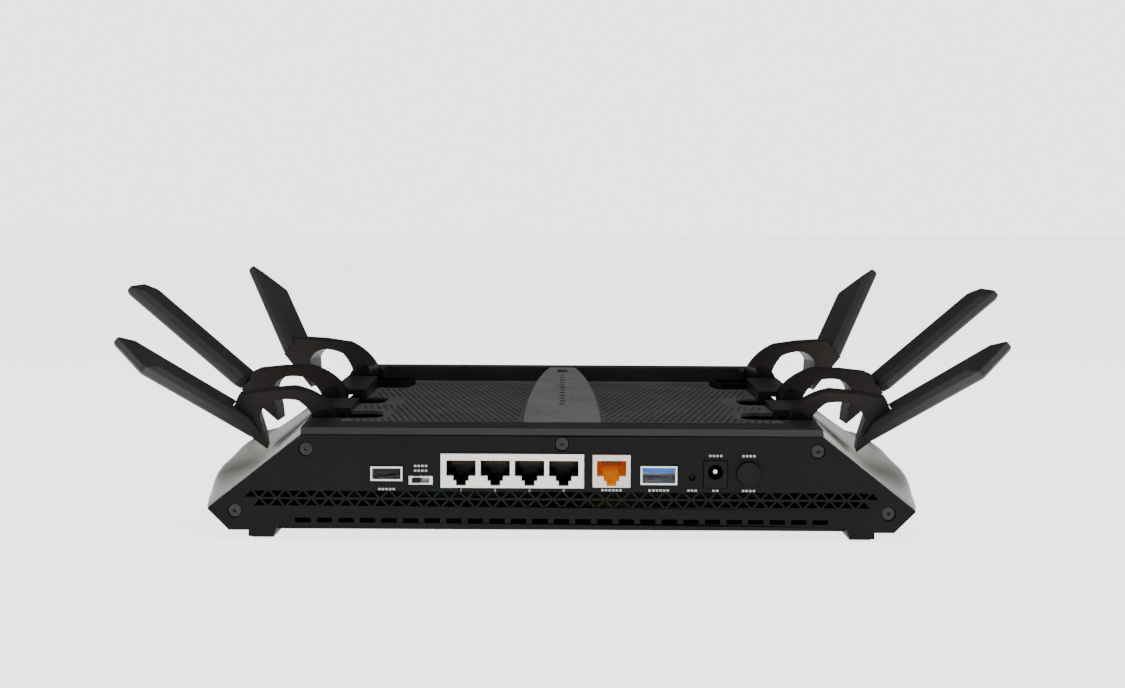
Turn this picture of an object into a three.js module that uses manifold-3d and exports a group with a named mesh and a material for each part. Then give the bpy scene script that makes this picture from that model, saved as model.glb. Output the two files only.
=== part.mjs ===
// Wireless router with six folding antennas, as an assembly of separate pieces.
// Millimetres, +Z up. The port panel faces -Y, the front faces +Y.
// The origin is on the table, under the middle of the model's box.
import * as THREE from 'three';
import { mergeVertices } from 'three/addons/utils/BufferGeometryUtils.js';
import Module from 'manifold-3d';

const wasm = await Module();
wasm.setup();

// ---- driving dimensions ----------------------------------------------------
const GAP = 0.3;              // clearance between neighbouring pieces
const DEPTH = 226.8;          // port panel to nose of the front bezel
const PANEL_T = 3;            // thickness of the port panel
const SHELL_T = 2.2;          // wall of the moulded shells
const FLOOR_Z = 3.9;          // underside of the bottom shell
const LEG_Z = 1.2;            // underside of the moulded legs
const RIM_BACK_Z = 46.8;      // top of the rim at the port side
const RIM_FRONT_Z = 54.5;     // top of the rim at the front
const RIM_BASE_Z = 43.6;      // underside of the top frame's front lip
const FRAME_WALL_Z = 34;      // lower edge of the wall round the deck opening
const FRAME_T = 2.6;          // thickness of the frame's top and walls
const DECK_BACK_Y = 22;       // where the deck opening starts
const DECK_FRONT_Y = 206;     // where the deck opening ends
const DECK_HALF_W = 96;       // half width of the deck opening
const GRILLE_TOP_Z = 47;
const GRILLE_T = 1.6;
const TOP_HALF_W = 108.8;     // half width of the body at the rim
const TOP_BULGE = 4;          // how far the rim bows out at mid depth
const LIGHT_BAR_HALF_W = 16.8;
const LIGHT_BAR_REACH = 200;  // length of the ellipse that shapes the light bar
const LIGHT_BAR_STEP_Y = 190; // beyond here the light bar lies on the grille
const CENTRE_Y = 112.95;       // middle of the whole model along Y, becomes y = 0

// Half profile of the body across its width, from the rim down to the floor.
// "edge" holds at the port panel and at the front, "middle" at half depth.
const SIDE_POINTS = {
  shoulder: { edge: [127, 30.5], middle: [143, 31.5], upper: true },
  haunch: { edge: [134, 24.7], middle: [150, 27.5], upper: true },
  flank: { edge: [141, 18.9], middle: [155, 21.5], upper: false },
  widest: { edge: [148, 13], middle: [157, 14], upper: false },
  floor: { edge: [138.9, FLOOR_Z], middle: [147, FLOOR_Z], upper: false },
};

// Antennas: the pivot, the plan angle of the arm, its lift and the splay of the blade.
const ARM_WIDTH = 20;
const ARM_SLOPE = 40;         // slope of the blade in the arm's own profile, degrees
const KNUCKLE_R = 4.6;
const PIN_R = 1.6;
const BLADE_WIDTH = 27;
const BLADE_T = 6.5;
const BLADE_LENGTH = 70.5;    // of a middle blade
const BLADE_ROOT = 23.3;      // distance of the blade root from the spike
const SPIKE = [25.5, -11];    // tip of the arm's outer leg, outward and up from the pivot
const CORNER_REACH = 55;      // length of a corner blade along its own slanted line
const CORNER_START = [5, 11.6]; // where that line starts, along the blade and along the hinge
const ANTENNAS = [
  { place: 'rear', pivot: [105, 46, 45], yaw: -7.5, lift: -1.7, splay: -41 },
  { place: 'middle', pivot: [109.6, 105, 48.6], yaw: 0, lift: 0.8, splay: 0 },
  { place: 'front', pivot: [104, 180.8, 52.4], yaw: 7.5, lift: 10.2, splay: 41 },
];

// Ports and controls on the port panel: centre x, centre z, width, height, depth.
const LAN = { x: -20.6, z: 29.3, w: 59.6, h: 14.2, d: 24 };
const WAN = { x: 20.7, z: 29.4, w: 15.7, h: 13.6, d: 24 };
const USB2 = { x: -73, z: 27.9, w: 13.3, h: 6, d: 15 };
const USB3 = { x: 40.4, z: 27.7, w: 15.2, h: 7.8, d: 18 };
const DC = { x: 64, z: 28.3, w: 9.6, h: 11.2, d: 14 };
const SLIDE_SWITCH = { x: -58.8, z: 25.1, w: 10, h: 3.6, d: 7 };
const RESET = { x: 54.3, z: 26.8, r: 1.1 };
const POWER = { x: 77.8, z: 28.6, r: 4.9, travel: 2 };
const RJ45_PITCH = 14.25;
const RJ45_W = 12.3;
const PANEL_SCREWS = {
  screw_upper_left: [-106.6, 38], screw_upper_right: [106.6, 38],
  screw_lower_left: [-136.4, 12], screw_lower_right: [136.4, 12],
  screw_top_centre: [0, 40.6],
};
const VENT_ROWS = [19.2, 15.6];   // heights of the two rows of triangles
const VENT_HALF_W = 131;
const VENT_PITCH = 3.6;
const VENT_W = 5;
const VENT_H = 2.7;
const SLOT_Z = 8.2;
const SLOT_PITCH = 9;
const SLOT_COUNT = 12;        // slots either side of the middle one
const SCREW_R = 2.7;
const SCREW_HOLE_R = 3.1;

// Front buttons, centre x and z, and their travel.
const FRONT_BUTTONS = { wifi_button: -24, pairing_button: 24 };
const FRONT_BUTTON_Z = 24;
const FRONT_BUTTON_R = 5.5;
const FRONT_TRAVEL = 1.5;

// ---- materials -------------------------------------------------------------
const paint = (color, roughness, metalness = 0) => () =>
  new THREE.MeshStandardMaterial({ color, roughness, metalness });
const shellBlack = paint(0x202022, 0.6);
const deckBlack = paint(0x2c2c2d, 0.7);
const glossBlack = paint(0x141413, 0.2);
const silverGrey = paint(0xb9b7b2, 0.3, 0.1);
const armBrown = paint(0x2b2622, 0.35);
const bladeGrey = paint(0x38383a, 0.55);
const barGrey = paint(0x6c6d69, 0.35);
const jackWhite = paint(0xd9d3c4, 0.5);
const steel = paint(0xb4b6b8, 0.3, 1);
const darkSteel = paint(0x2c2c2e, 0.4, 1);
const aluminium = paint(0x9fa2a5, 0.4, 1);
const boardGreen = paint(0x1c4a2c, 0.6);
const rubberBlack = paint(0x161616, 0.9);
const tongueBlue = paint(0x1d57b0, 0.45);
const switchWhite = paint(0xe2e0da, 0.5);

// ---- geometry helpers ------------------------------------------------------
const rad = THREE.MathUtils.degToRad;
const smooth = (a, b, v) => THREE.MathUtils.smoothstep(v, a, b);
const flip = (points) => points.map(([x, z]) => [-x, z]);

function shapeOf(outline) {
  return Array.isArray(outline) ? new THREE.Shape(outline.map(([x, y]) => new THREE.Vector2(x, y))) : outline;
}

// Prism of a plan outline, between two heights.
function plate(outline, z0, z1) {
  const g = new THREE.ExtrudeGeometry(shapeOf(outline), { depth: z1 - z0, bevelEnabled: false });
  return g.translate(0, 0, z0);
}

// Prism of an outline in the XZ plane, between two depths.
function prismY(outline, y0, y1) {
  const g = new THREE.ExtrudeGeometry(shapeOf(outline), { depth: y1 - y0, bevelEnabled: false, curveSegments: 8 });
  return g.rotateX(Math.PI / 2).translate(0, y1, 0);
}

// Prism of an outline in the YZ plane, centred on x = 0.
function prismX(points, width) {
  const g = new THREE.ExtrudeGeometry(shapeOf(points), { depth: width, bevelEnabled: false });
  return g.rotateX(Math.PI / 2).rotateZ(Math.PI / 2).translate(-width / 2, 0, 0);
}

function block(x0, x1, y0, y1, z0, z1) {
  const g = new THREE.BoxGeometry(x1 - x0, y1 - y0, z1 - z0);
  return g.translate((x0 + x1) / 2, (y0 + y1) / 2, (z0 + z1) / 2);
}

function rodY(x, z, r, y0, y1, sides = 20) {
  return new THREE.CylinderGeometry(r, r, y1 - y0, sides).translate(x, (y0 + y1) / 2, z);
}

function rodZ(x, y, r, z0, z1, sides = 20) {
  return new THREE.CylinderGeometry(r, r, z1 - z0, sides).rotateX(Math.PI / 2).translate(x, y, (z0 + z1) / 2);
}

// Closed solid through rings of [x, y, z] corners, one ring after another along +Y.
function loft(rings) {
  const flat = (ring) => ring.map(([x, , z]) => new THREE.Vector2(x, z));
  const turnsLeft = THREE.ShapeUtils.area(flat(rings[0])) > 0;
  const ordered = turnsLeft ? rings : rings.map((ring) => [...ring].reverse());
  const n = ordered[0].length;
  const end = (ordered.length - 1) * n;
  const index = [];
  for (let i = 0; i + 1 < ordered.length; i++) {
    for (let j = 0; j < n; j++) {
      const a = i * n + j;
      const b = i * n + (j + 1) % n;
      index.push(a, a + n, b, b, a + n, b + n);
    }
  }
  for (const [a, b, c] of THREE.ShapeUtils.triangulateShape(flat(ordered[0]), [])) index.push(a, b, c);
  for (const [a, b, c] of THREE.ShapeUtils.triangulateShape(flat(ordered[ordered.length - 1]), [])) {
    index.push(end + a, end + c, end + b);
  }
  const g = new THREE.BufferGeometry();
  g.setAttribute('position', new THREE.Float32BufferAttribute(ordered.flat(2), 3));
  g.setIndex(index);
  return g;
}

function toSolid(geometry) {
  const bare = geometry.clone();
  bare.deleteAttribute('normal');
  bare.deleteAttribute('uv');
  const merged = mergeVertices(bare, 1e-4);
  return new wasm.Manifold(new wasm.Mesh({
    numProp: 3,
    vertProperties: new Float32Array(merged.getAttribute('position').array),
    triVerts: new Uint32Array(merged.index.array),
  }));
}

function toGeometry(solid) {
  const mesh = solid.getMesh();
  const g = new THREE.BufferGeometry();
  g.setAttribute('position', new THREE.BufferAttribute(new Float32Array(mesh.vertProperties), 3));
  g.setIndex(new THREE.BufferAttribute(new Uint32Array(mesh.triVerts), 1));
  return g;
}

const join = (first, ...rest) => toGeometry(rest.reduce((s, g) => s.add(toSolid(g)), toSolid(first)));
const cut = (body, ...tools) => toGeometry(tools.reduce((s, g) => s.subtract(toSolid(g)), toSolid(body)));
const common = (a, b) => toGeometry(toSolid(a).intersect(toSolid(b)));

const router = new THREE.Group();
const model = new THREE.Group();      // drawn with y = 0 at the port panel
model.position.y = -CENTRE_Y;
router.add(model);

function add(name, geometry, material, parent = model) {
  geometry.computeVertexNormals();
  const mesh = new THREE.Mesh(geometry, material());
  mesh.name = name;
  parent.add(mesh);
  return mesh;
}

// ---- body outline ----------------------------------------------------------
const rimZ = (y) => RIM_BACK_Z + (RIM_FRONT_Z - RIM_BACK_Z)
  * THREE.MathUtils.clamp((y - DECK_BACK_Y) / (DECK_FRONT_Y - DECK_BACK_Y), 0, 1);
const rimHalfWidth = (y) => TOP_HALF_W + TOP_BULGE * Math.sin(Math.PI * THREE.MathUtils.clamp(y / DEPTH, 0, 1));

// How far the flanks have bowed out at depth y: the upper ones start later.
function bow(y, upper) {
  const fromEnd = Math.min(y, DEPTH - y);
  if (upper) return smooth(25, 95, fromEnd);
  return Math.sin(Math.PI / 2 * THREE.MathUtils.clamp(fromEnd / 75, 0, 1));
}

function sidePoint(key, y) {
  const { edge, middle, upper } = SIDE_POINTS[key];
  const t = bow(y, upper);
  return [THREE.MathUtils.lerp(edge[0], middle[0], t), THREE.MathUtils.lerp(edge[1], middle[1], t)];
}

// ---- shells ----------------------------------------------------------------
const STATIONS = [0, 14, 28, 42, 56, 70, 84, 98, 113.4, 128.8, 142.8, 156.8, 170.8, 184.8, 198.8, 212.8, DEPTH];
const SHELL_Y0 = PANEL_T + GAP;
const SHELL_Y1 = 214;
const LEG_X = 125.1;
const LEG_SPANS = { rear: [SHELL_Y0, 24], front: [196, SHELL_Y1] };

function stationsBetween(y0, y1) {
  return [y0, ...STATIONS.filter((y) => y > y0 + 1 && y < y1 - 1), y1];
}

function sidePanel(sign) {
  const ring = (y) => {
    const top = [rimHalfWidth(y) + GAP, rimZ(y) - 0.8];
    const flanks = ['shoulder', 'haunch', 'flank'].map((key) => sidePoint(key, y));
    const widest = sidePoint('widest', y);
    const outer = [top, ...flanks, widest];
    const inner = [
      [widest[0] - 2.6, widest[1]],
      ...flanks.map(([x, z]) => [x - 1.2, z - 2.2]).reverse(),
      [top[0], top[1] - 3],
    ];
    return [...outer, ...inner].map(([x, z]) => [sign * x, y, z]);
  };
  return loft(stationsBetween(SHELL_Y0, SHELL_Y1).map(ring));
}

// Half outline of a leg: sloped towards the middle of the body, upright outside.
function legOutline(topZ) {
  return [[LEG_X - 6.6, topZ], [LEG_X - 4.8, LEG_Z], [LEG_X + 5.6, LEG_Z], [LEG_X + 5.6, topZ]];
}

function legAt(sign, y0, y1) {
  const outline = legOutline(FLOOR_Z + 1);
  return prismY(sign > 0 ? outline : flip(outline).reverse(), y0, y1);
}

function bottomShell() {
  const ring = (y) => {
    const [wx, wz] = sidePoint('widest', y);
    const [fx] = sidePoint('floor', y);
    const half = [[wx - 0.4, wz - GAP], [fx, FLOOR_Z]];
    const inside = [[fx - SHELL_T, FLOOR_Z + SHELL_T], [wx - 0.4 - SHELL_T * 1.3, wz - GAP]];
    const left = flip(inside).reverse();
    const outline = [...half, ...flip(half).reverse(), ...left, ...inside];
    return outline.map(([x, z]) => [x, y, z]);
  };
  const tray = loft(stationsBetween(SHELL_Y0, SHELL_Y1).map(ring));
  const legs = [];
  for (const sign of [-1, 1]) {
    for (const [y0, y1] of Object.values(LEG_SPANS)) legs.push(legAt(sign, y0, y1));
  }
  const vents = [];
  for (let i = -5; i <= 5; i++) vents.push(block(i * 12 - 1.5, i * 12 + 1.5, 130, 175, FLOOR_Z - 1, FLOOR_Z + 4));
  return cut(join(tray, ...legs), ...vents);
}

// Outline of the port panel: a wide hexagon with a leg at each lower corner.
function panelOutline() {
  const half = [
    [TOP_HALF_W, 44], [148, 13], [138.9, FLOOR_Z], [LEG_X + 5.6, FLOOR_Z], [LEG_X + 5.6, LEG_Z],
    [LEG_X - 4.8, LEG_Z], [LEG_X - 6.6, 6.1],
  ];
  return [...half, ...flip(half).reverse()];
}

function rearPanel() {
  const panel = prismY(panelOutline(), 0, PANEL_T);
  const y0 = -1;
  const y1 = PANEL_T + 1;
  const hole = ({ x, z, w, h }) => block(x - w / 2 - GAP, x + w / 2 + GAP, y0, y1, z - h / 2 - GAP, z + h / 2 + GAP);
  const tools = [hole(LAN), hole(WAN), hole(USB2), hole(USB3), hole(DC), hole(SLIDE_SWITCH)];
  tools.push(rodY(POWER.x, POWER.z, POWER.r + GAP, y0, y1, 28));
  tools.push(rodY(RESET.x, RESET.z, RESET.r + GAP, y0, y1, 12));
  for (const [x, z] of Object.values(PANEL_SCREWS)) tools.push(rodY(x, z, SCREW_HOLE_R, y0, y1, 16));
  return cut(panel, ...tools, ...ventHoles(y0, y1));
}

// Two rows of small triangles, pointing up and down in turn, over a row of slots.
function ventHoles(y0, y1) {
  const holes = [];
  for (const [row, z] of VENT_ROWS.entries()) {
    const count = Math.floor((VENT_HALF_W - row * 4) / VENT_PITCH);
    for (let i = -count; i <= count; i++) {
      const x = i * VENT_PITCH;
      const up = (i + row) % 2 === 0 ? 1 : -1;
      const triangle = [[x - VENT_W / 2, z - up * VENT_H / 2], [x + VENT_W / 2, z - up * VENT_H / 2], [x, z + up * VENT_H / 2]];
      holes.push(prismY(triangle, y0, y1));
    }
  }
  for (let i = -SLOT_COUNT; i <= SLOT_COUNT; i++) {
    const x = i * SLOT_PITCH;
    holes.push(block(x - SLOT_PITCH * 0.36, x + SLOT_PITCH * 0.36, y0, y1, SLOT_Z - 1, SLOT_Z + 1));
  }
  return holes;
}

// ---- top -------------------------------------------------------------------
function deckCutter(margin, z0, z1) {
  const w = DECK_HALF_W + margin;
  return block(-w, w, DECK_BACK_Y - margin, DECK_FRONT_Y + margin, z0, z1);
}

// Space that each hinge cradle takes in the frame and the grille.
const CRADLE_HALF = ARM_WIDTH / 2 + 3.4;
const CRADLE_IN = 25;
const CRADLE_OUT = 5.6;
const CRADLE_DROP = 8.6;

// Plan outline of a cradle, grown by a margin: square at the rim, rounded towards the deck.
function cradleOutline(margin) {
  const w = CRADLE_HALF + margin;
  const inner = CRADLE_IN + margin;
  const r = 6 + margin;
  const shape = new THREE.Shape();
  shape.moveTo(CRADLE_OUT + margin, -w);
  shape.lineTo(CRADLE_OUT + margin, w);
  shape.lineTo(r - inner, w);
  shape.absarc(r - inner, w - r, r, rad(90), rad(180), false);
  shape.absarc(r - inner, r - w, r, rad(180), rad(270), false);
  return shape;
}

function antennaMatrix({ pivot, yaw }, sign) {
  const turn = sign > 0 ? rad(yaw) : Math.PI - rad(yaw);
  const m = new THREE.Matrix4().makeRotationZ(turn);
  return m.setPosition(sign * pivot[0], pivot[1], pivot[2]);
}

function cradlePockets() {
  const pockets = [];
  for (const a of ANTENNAS) {
    for (const sign of [-1, 1]) {
      const g = plate(cradleOutline(GAP), -CRADLE_DROP - GAP, 20);
      pockets.push(g.applyMatrix4(antennaMatrix(a, sign)));
    }
  }
  return pockets;
}

function topFrame() {
  const lipY = DECK_FRONT_Y + FRAME_T;
  const side = [
    [0, 44.3], [SHELL_Y0, 44.3], [SHELL_Y0, FRAME_WALL_Z], [lipY, FRAME_WALL_Z], [lipY, RIM_BASE_Z],
    [DEPTH - 9, RIM_BASE_Z], [DEPTH - 4, 50.5], [DEPTH - 6, RIM_FRONT_Z], [DECK_FRONT_Y, RIM_FRONT_Z],
    [DECK_BACK_Y, RIM_BACK_Z], [2.6, RIM_BACK_Z],
  ];
  const right = stationsBetween(0, DEPTH - 2).map((y) => [rimHalfWidth(y), y]);
  const slab = common(prismX(side, 300), plate([...right, ...flip(right).reverse()], 30, 70));
  const y0 = SHELL_Y0 + FRAME_T;
  const under = [
    [y0, 30], [lipY, 30], [lipY, RIM_FRONT_Z - FRAME_T], [DECK_BACK_Y, RIM_BACK_Z - FRAME_T], [y0, RIM_BACK_Z - FRAME_T],
  ];
  const hollow = cut(prismX(under, 300), deckCutter(FRAME_T, 20, 80));
  const portBay = block(-92, 92, 1, 30, 30, 42.5);
  const screwBay = block(-120, 120, 1, 12, 30, 42.5);
  return cut(slab, deckCutter(0, 30, 70), hollow, portBay, screwBay, ...cradlePockets());
}

function lightBarHalfWidth(y) {
  const t = (y - DECK_BACK_Y) / LIGHT_BAR_REACH;
  return LIGHT_BAR_HALF_W * Math.sqrt(1 - t * t);
}

const LIGHT_BAR_STEPS = 12;
function lightBarOutline(margin, y0, y1) {
  const right = [];
  for (let i = 0; i <= LIGHT_BAR_STEPS; i++) {
    const y = y0 + (y1 - y0) * i / LIGHT_BAR_STEPS;
    right.push([lightBarHalfWidth(y) + margin, y]);
  }
  return [...right, ...flip(right).reverse()];
}

function deckGrille() {
  const m = GAP;
  const w = DECK_HALF_W - m;
  const sheet = block(-w, w, DECK_BACK_Y + m, DECK_FRONT_Y - m, GRILLE_TOP_Z - GRILLE_T, GRILLE_TOP_Z);
  const slot = plate(lightBarOutline(GAP, DECK_BACK_Y, LIGHT_BAR_STEP_Y), 30, 70);
  return cut(sheet, slot, ...cradlePockets());
}

function lightBar() {
  const y0 = DECK_BACK_Y + GAP;
  const y1 = DECK_FRONT_Y - GAP;
  const stepY = LIGHT_BAR_STEP_Y - GAP;
  const bottomZ = GRILLE_TOP_Z - 5;
  const side = [
    [y0, bottomZ], [stepY, bottomZ], [stepY, GRILLE_TOP_Z + GAP], [y1, GRILLE_TOP_Z + GAP],
    [y1, RIM_FRONT_Z], [y0, RIM_BACK_Z + 0.3],
  ];
  const bar = common(prismX(side, 60), plate(lightBarOutline(0, y0, y1), 30, 70));
  const hollow = block(-5, 5, y0 + 12, stepY - 6, 30, 45.5);
  return cut(bar, hollow);
}

// ---- front -----------------------------------------------------------------
function frontBezel() {
  const half = (y) => {
    const [wx, wz] = sidePoint('widest', y);
    const [fx] = sidePoint('floor', y);
    return [[TOP_HALF_W - 1, RIM_BASE_Z - GAP], [wx, wz], [fx, FLOOR_Z]];
  };
  const ring = (y, inset, top) => {
    const h = half(y).map(([x, z]) => [x - inset, z]);
    h[0][1] = top;
    return [...h, ...flip(h).reverse()].map(([x, z]) => [x, y, z]);
  };
  const y0 = SHELL_Y1 + GAP;
  const shell = loft([ring(y0, 0, RIM_BASE_Z - GAP), ring(DEPTH - 6, 0, RIM_BASE_Z - GAP), ring(DEPTH, 9, 36)]);
  const hollow = loft([ring(y0 - 1, 4, 40), ring(DEPTH - 5, 6, 40)]
    .map((r) => r.map(([x, y, z]) => [x, y, Math.max(z, FLOOR_Z + 2)])));
  const holes = Object.values(FRONT_BUTTONS).map((x) =>
    rodY(x, FRONT_BUTTON_Z, FRONT_BUTTON_R + GAP, y0 - 2, DEPTH + 2, 28));
  return cut(shell, hollow, ...holes);
}

function frontButton(x) {
  const cap = rodY(x, FRONT_BUTTON_Z, FRONT_BUTTON_R, DEPTH - 8, DEPTH - 0.8, 28);
  const stem = rodY(x, FRONT_BUTTON_Z, 2, DEPTH - 12, DEPTH - 7, 12);
  return join(cap, stem);
}

// ---- ports and controls ----------------------------------------------------
// Opening of a modular jack: a wide part with a latch notch in two steps below it.
function jackOpening(x, z, depth) {
  const w = RJ45_W / 2;
  const top = z + 4.4;
  const outline = [
    [x - w, top], [x - w, z - 2.2], [x - 3.3, z - 2.2], [x - 3.3, z - 4.2], [x - 2.1, z - 4.2], [x - 2.1, z - 6.2],
    [x + 2.1, z - 6.2], [x + 2.1, z - 4.2], [x + 3.3, z - 4.2], [x + 3.3, z - 2.2], [x + w, z - 2.2], [x + w, top],
  ];
  return prismY(outline, -1, depth);
}

function jackBlock({ x, z, w, h, d }, count) {
  const body = block(x - w / 2, x + w / 2, -0.6, d, z - h / 2, z + h / 2);
  const holes = [];
  for (let i = 0; i < count; i++) holes.push(jackOpening(x + (i - (count - 1) / 2) * RJ45_PITCH, z, d - 3));
  return cut(body, ...holes);
}

function usbShell({ x, z, w, h, d }) {
  const wall = 0.7;
  const outer = block(x - w / 2, x + w / 2, -0.5, d, z - h / 2, z + h / 2);
  const inner = block(x - w / 2 + wall, x + w / 2 - wall, -2, d - 1.2, z - h / 2 + wall, z + h / 2 - wall);
  return cut(outer, inner);
}

function usbTongue({ x, z, w, h, d }) {
  return block(x - w / 2 + 1.3, x + w / 2 - 1.3, 1, d - 1.2 - GAP, z + h / 2 - 2.9, z + h / 2 - 1);
}

function dcJack() {
  const body = block(DC.x - DC.w / 2, DC.x + DC.w / 2, -0.4, DC.d, DC.z - DC.h / 2, DC.z + DC.h / 2);
  return cut(body, rodY(DC.x, DC.z + 0.9, 3.2, -2, DC.d - 2, 24));
}

function slideSwitchBody() {
  const { x, z, w, h, d } = SLIDE_SWITCH;
  const body = block(x - w / 2, x + w / 2, 0.2, d, z - h / 2, z + h / 2);
  return cut(body, block(x - 3.6, x + 3.6, -1, d - 2.5, z - 1.1, z + 1.1));
}

function slideSwitchKnob() {
  const { x, z, d } = SLIDE_SWITCH;
  return block(x - 3.2, x - 0.2, -0.9, d - 2.9, z - 0.8, z + 0.8);
}

const RESET_BACK_Y = 12;
function resetPlunger() {
  const stem = rodY(RESET.x, RESET.z, RESET.r - 0.1, 1.4, RESET_BACK_Y, 12);
  return join(stem, rodY(RESET.x, RESET.z, 2, PANEL_T + 2.5, PANEL_T + 4, 16));
}

function resetSwitch() {
  const { x, z } = RESET;
  const body = block(x - 3.5, x + 3.5, 9, 15, z - 3.2, z + 3.2);
  return cut(body, rodY(x, z, RESET.r + 0.3, 5, RESET_BACK_Y + 2, 12));
}

const POWER_BACK_Y = 13;
function powerButton() {
  const cap = rodY(POWER.x, POWER.z, POWER.r, -1.6, 6, 32);
  return join(cap, rodY(POWER.x, POWER.z, 1.8, 5, POWER_BACK_Y, 12));
}

function powerSwitch() {
  const body = block(POWER.x - 5, POWER.x + 5, 10, 22, POWER.z - 5, POWER.z + 5);
  return cut(body, rodY(POWER.x, POWER.z, 2.2, 8, POWER_BACK_Y + POWER.travel + 1, 16));
}

function panelScrew([x, z]) {
  const head = join(rodY(x, z, SCREW_R, 0.8, 2.8, 16), rodY(x, z, 1.3, 2, 10, 10));
  return cut(head, rodY(x, z, 0.9, -1, 1.9, 6));
}

// ---- inside ----------------------------------------------------------------
function mainBoard() {
  const board = block(-100, 100, 26, 196, 12, 13.6);
  const tab = block(-84, 84, 5, 27, 12, 13.6);
  const mounts = [[-92, 40], [92, 40], [-92, 186], [92, 186]].map(([x, y]) => rodZ(x, y, 2, 10, 15, 12));
  return cut(join(board, tab), ...mounts);
}

function heatSink() {
  const base = block(-38, 38, 80, 150, 13.9, 17);
  const fins = [];
  for (let i = -6; i <= 6; i++) fins.push(block(i * 6 - 0.8, i * 6 + 0.8, 80, 150, 16, 34));
  return join(base, ...fins);
}

function lightBoard() {
  return block(-4, 4, 40, 178, 41, 42.4);
}

// ---- antennas --------------------------------------------------------------
const along = new THREE.Vector2(Math.cos(rad(ARM_SLOPE)), Math.sin(rad(ARM_SLOPE)));
const across = new THREE.Vector2(-along.y, along.x);
const onBlade = (l, t) => [SPIKE[0] + along.x * l + across.x * t, SPIKE[1] + along.y * l + across.y * t];

function armProfile() {
  const s = new THREE.Shape();
  s.absarc(0, 0, KNUCKLE_R, rad(165), rad(15), false);
  s.quadraticCurveTo(6.5, 6, 11.5, 9.8);
  s.quadraticCurveTo(16, 11, 21, 10.4);
  s.quadraticCurveTo(27, 9, 28.4, 3.5);
  s.lineTo(26.2, -5);
  s.lineTo(...SPIKE);
  s.lineTo(...onBlade(BLADE_ROOT - GAP, 0));
  s.lineTo(...onBlade(BLADE_ROOT - GAP, BLADE_T));
  s.lineTo(37.2, 12.8);
  s.lineTo(26, 14.2);
  s.lineTo(13, 14.8);
  s.quadraticCurveTo(3, 12.5, -3, 5.6);
  return s;
}

function antennaArm() {
  const body = prismY(armProfile(), -ARM_WIDTH / 2, ARM_WIDTH / 2);
  return cut(body, rodY(0, 0, PIN_R + GAP, -ARM_WIDTH, ARM_WIDTH, 16));
}

// Blade in its own plane: x runs out along the blade, y along the hinge.
// A corner blade slants to one side, and its edge on that side runs back past the arm.
function bladeOutline(splay) {
  const w = BLADE_WIDTH / 2;
  const armSide = ARM_WIDTH / 2 + GAP;
  if (splay === 0) {
    return [[0, -10], [3, -w], [BLADE_LENGTH, -w], [BLADE_LENGTH, w], [3, w], [0, 10]];
  }
  const s = Math.sign(splay);
  const cos = Math.cos(rad(splay));
  const sin = Math.abs(Math.sin(rad(splay)));
  const at = (l, c) => [CORNER_START[0] + cos * l - sin * c, s * (CORNER_START[1] + sin * l + cos * c)];
  const backReach = (armSide - CORNER_START[1] - cos * w) / sin;
  const outline = [
    [0, -s * 9.6], at(CORNER_REACH, -w), at(CORNER_REACH, w), at(backReach, w), [0, s * armSide],
  ];
  return s > 0 ? outline : outline.reverse();
}

function antennaBlade(splay) {
  const bevel = 1;
  const shape = shapeOf(bladeOutline(splay));
  const g = new THREE.ExtrudeGeometry(shape, {
    depth: BLADE_T - 2 * bevel, bevelThickness: bevel, bevelSize: bevel, bevelOffset: -bevel, bevelSegments: 1,
  });
  return g.translate(0, 0, bevel);
}

function hingeCradle() {
  const earR = 5.2;
  const wallTop = -2.4;
  const armRoom = ARM_WIDTH / 2 + 0.5;
  const body = plate(cradleOutline(0), -CRADLE_DROP, wallTop);
  const ear = (y0, y1) => rodY(0, 0, earR, y0, y1, 24);
  const tray = join(body, ear(-CRADLE_HALF, -armRoom), ear(armRoom, CRADLE_HALF));
  const hollow = plate(cradleOutline(-1.4), -CRADLE_DROP + 1.2, 10);
  const room = common(hollow, block(-60, 0, -armRoom, armRoom, -20, 20));
  const knuckleRoom = block(-8, 20, -armRoom, armRoom, -CRADLE_DROP + 1.2, 20);
  return cut(tray, room, knuckleRoom, rodY(0, 0, PIN_R + GAP, -CRADLE_HALF - 2, CRADLE_HALF + 2, 16));
}

function addAntenna(a, sign) {
  const name = `${sign < 0 ? 'left' : 'right'}_${a.place}`;
  const base = new THREE.Group();
  base.applyMatrix4(antennaMatrix(a, sign));
  model.add(base);
  add(`hinge_cradle_${name}`, hingeCradle(), shellBlack, base);
  add(`hinge_pin_${name}`, rodY(0, 0, PIN_R, -CRADLE_HALF, CRADLE_HALF, 16), darkSteel, base);
  const moving = new THREE.Group();
  moving.rotation.y = -rad(a.lift);
  base.add(moving);
  add(`antenna_arm_${name}`, antennaArm(), armBrown, moving);
  const plane = new THREE.Group();
  const [x, z] = onBlade(BLADE_ROOT, 0);
  plane.position.set(x, 0, z);
  plane.rotation.y = -rad(ARM_SLOPE);
  moving.add(plane);
  add(`antenna_blade_${name}`, antennaBlade(sign * a.splay), bladeGrey, plane);
}

// ---- assembly --------------------------------------------------------------
add('bottom_shell', bottomShell(), shellBlack);
add('rear_panel', rearPanel(), shellBlack);
add('top_frame', topFrame(), glossBlack);
add('deck_grille', deckGrille(), deckBlack);
add('light_bar', lightBar(), barGrey);
add('side_panel_left', cut(sidePanel(-1), ...cradlePockets()), silverGrey);
add('side_panel_right', cut(sidePanel(1), ...cradlePockets()), silverGrey);
add('front_bezel', frontBezel(), glossBlack);
for (const [name, x] of Object.entries(FRONT_BUTTONS)) add(name, frontButton(x), shellBlack);

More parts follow.
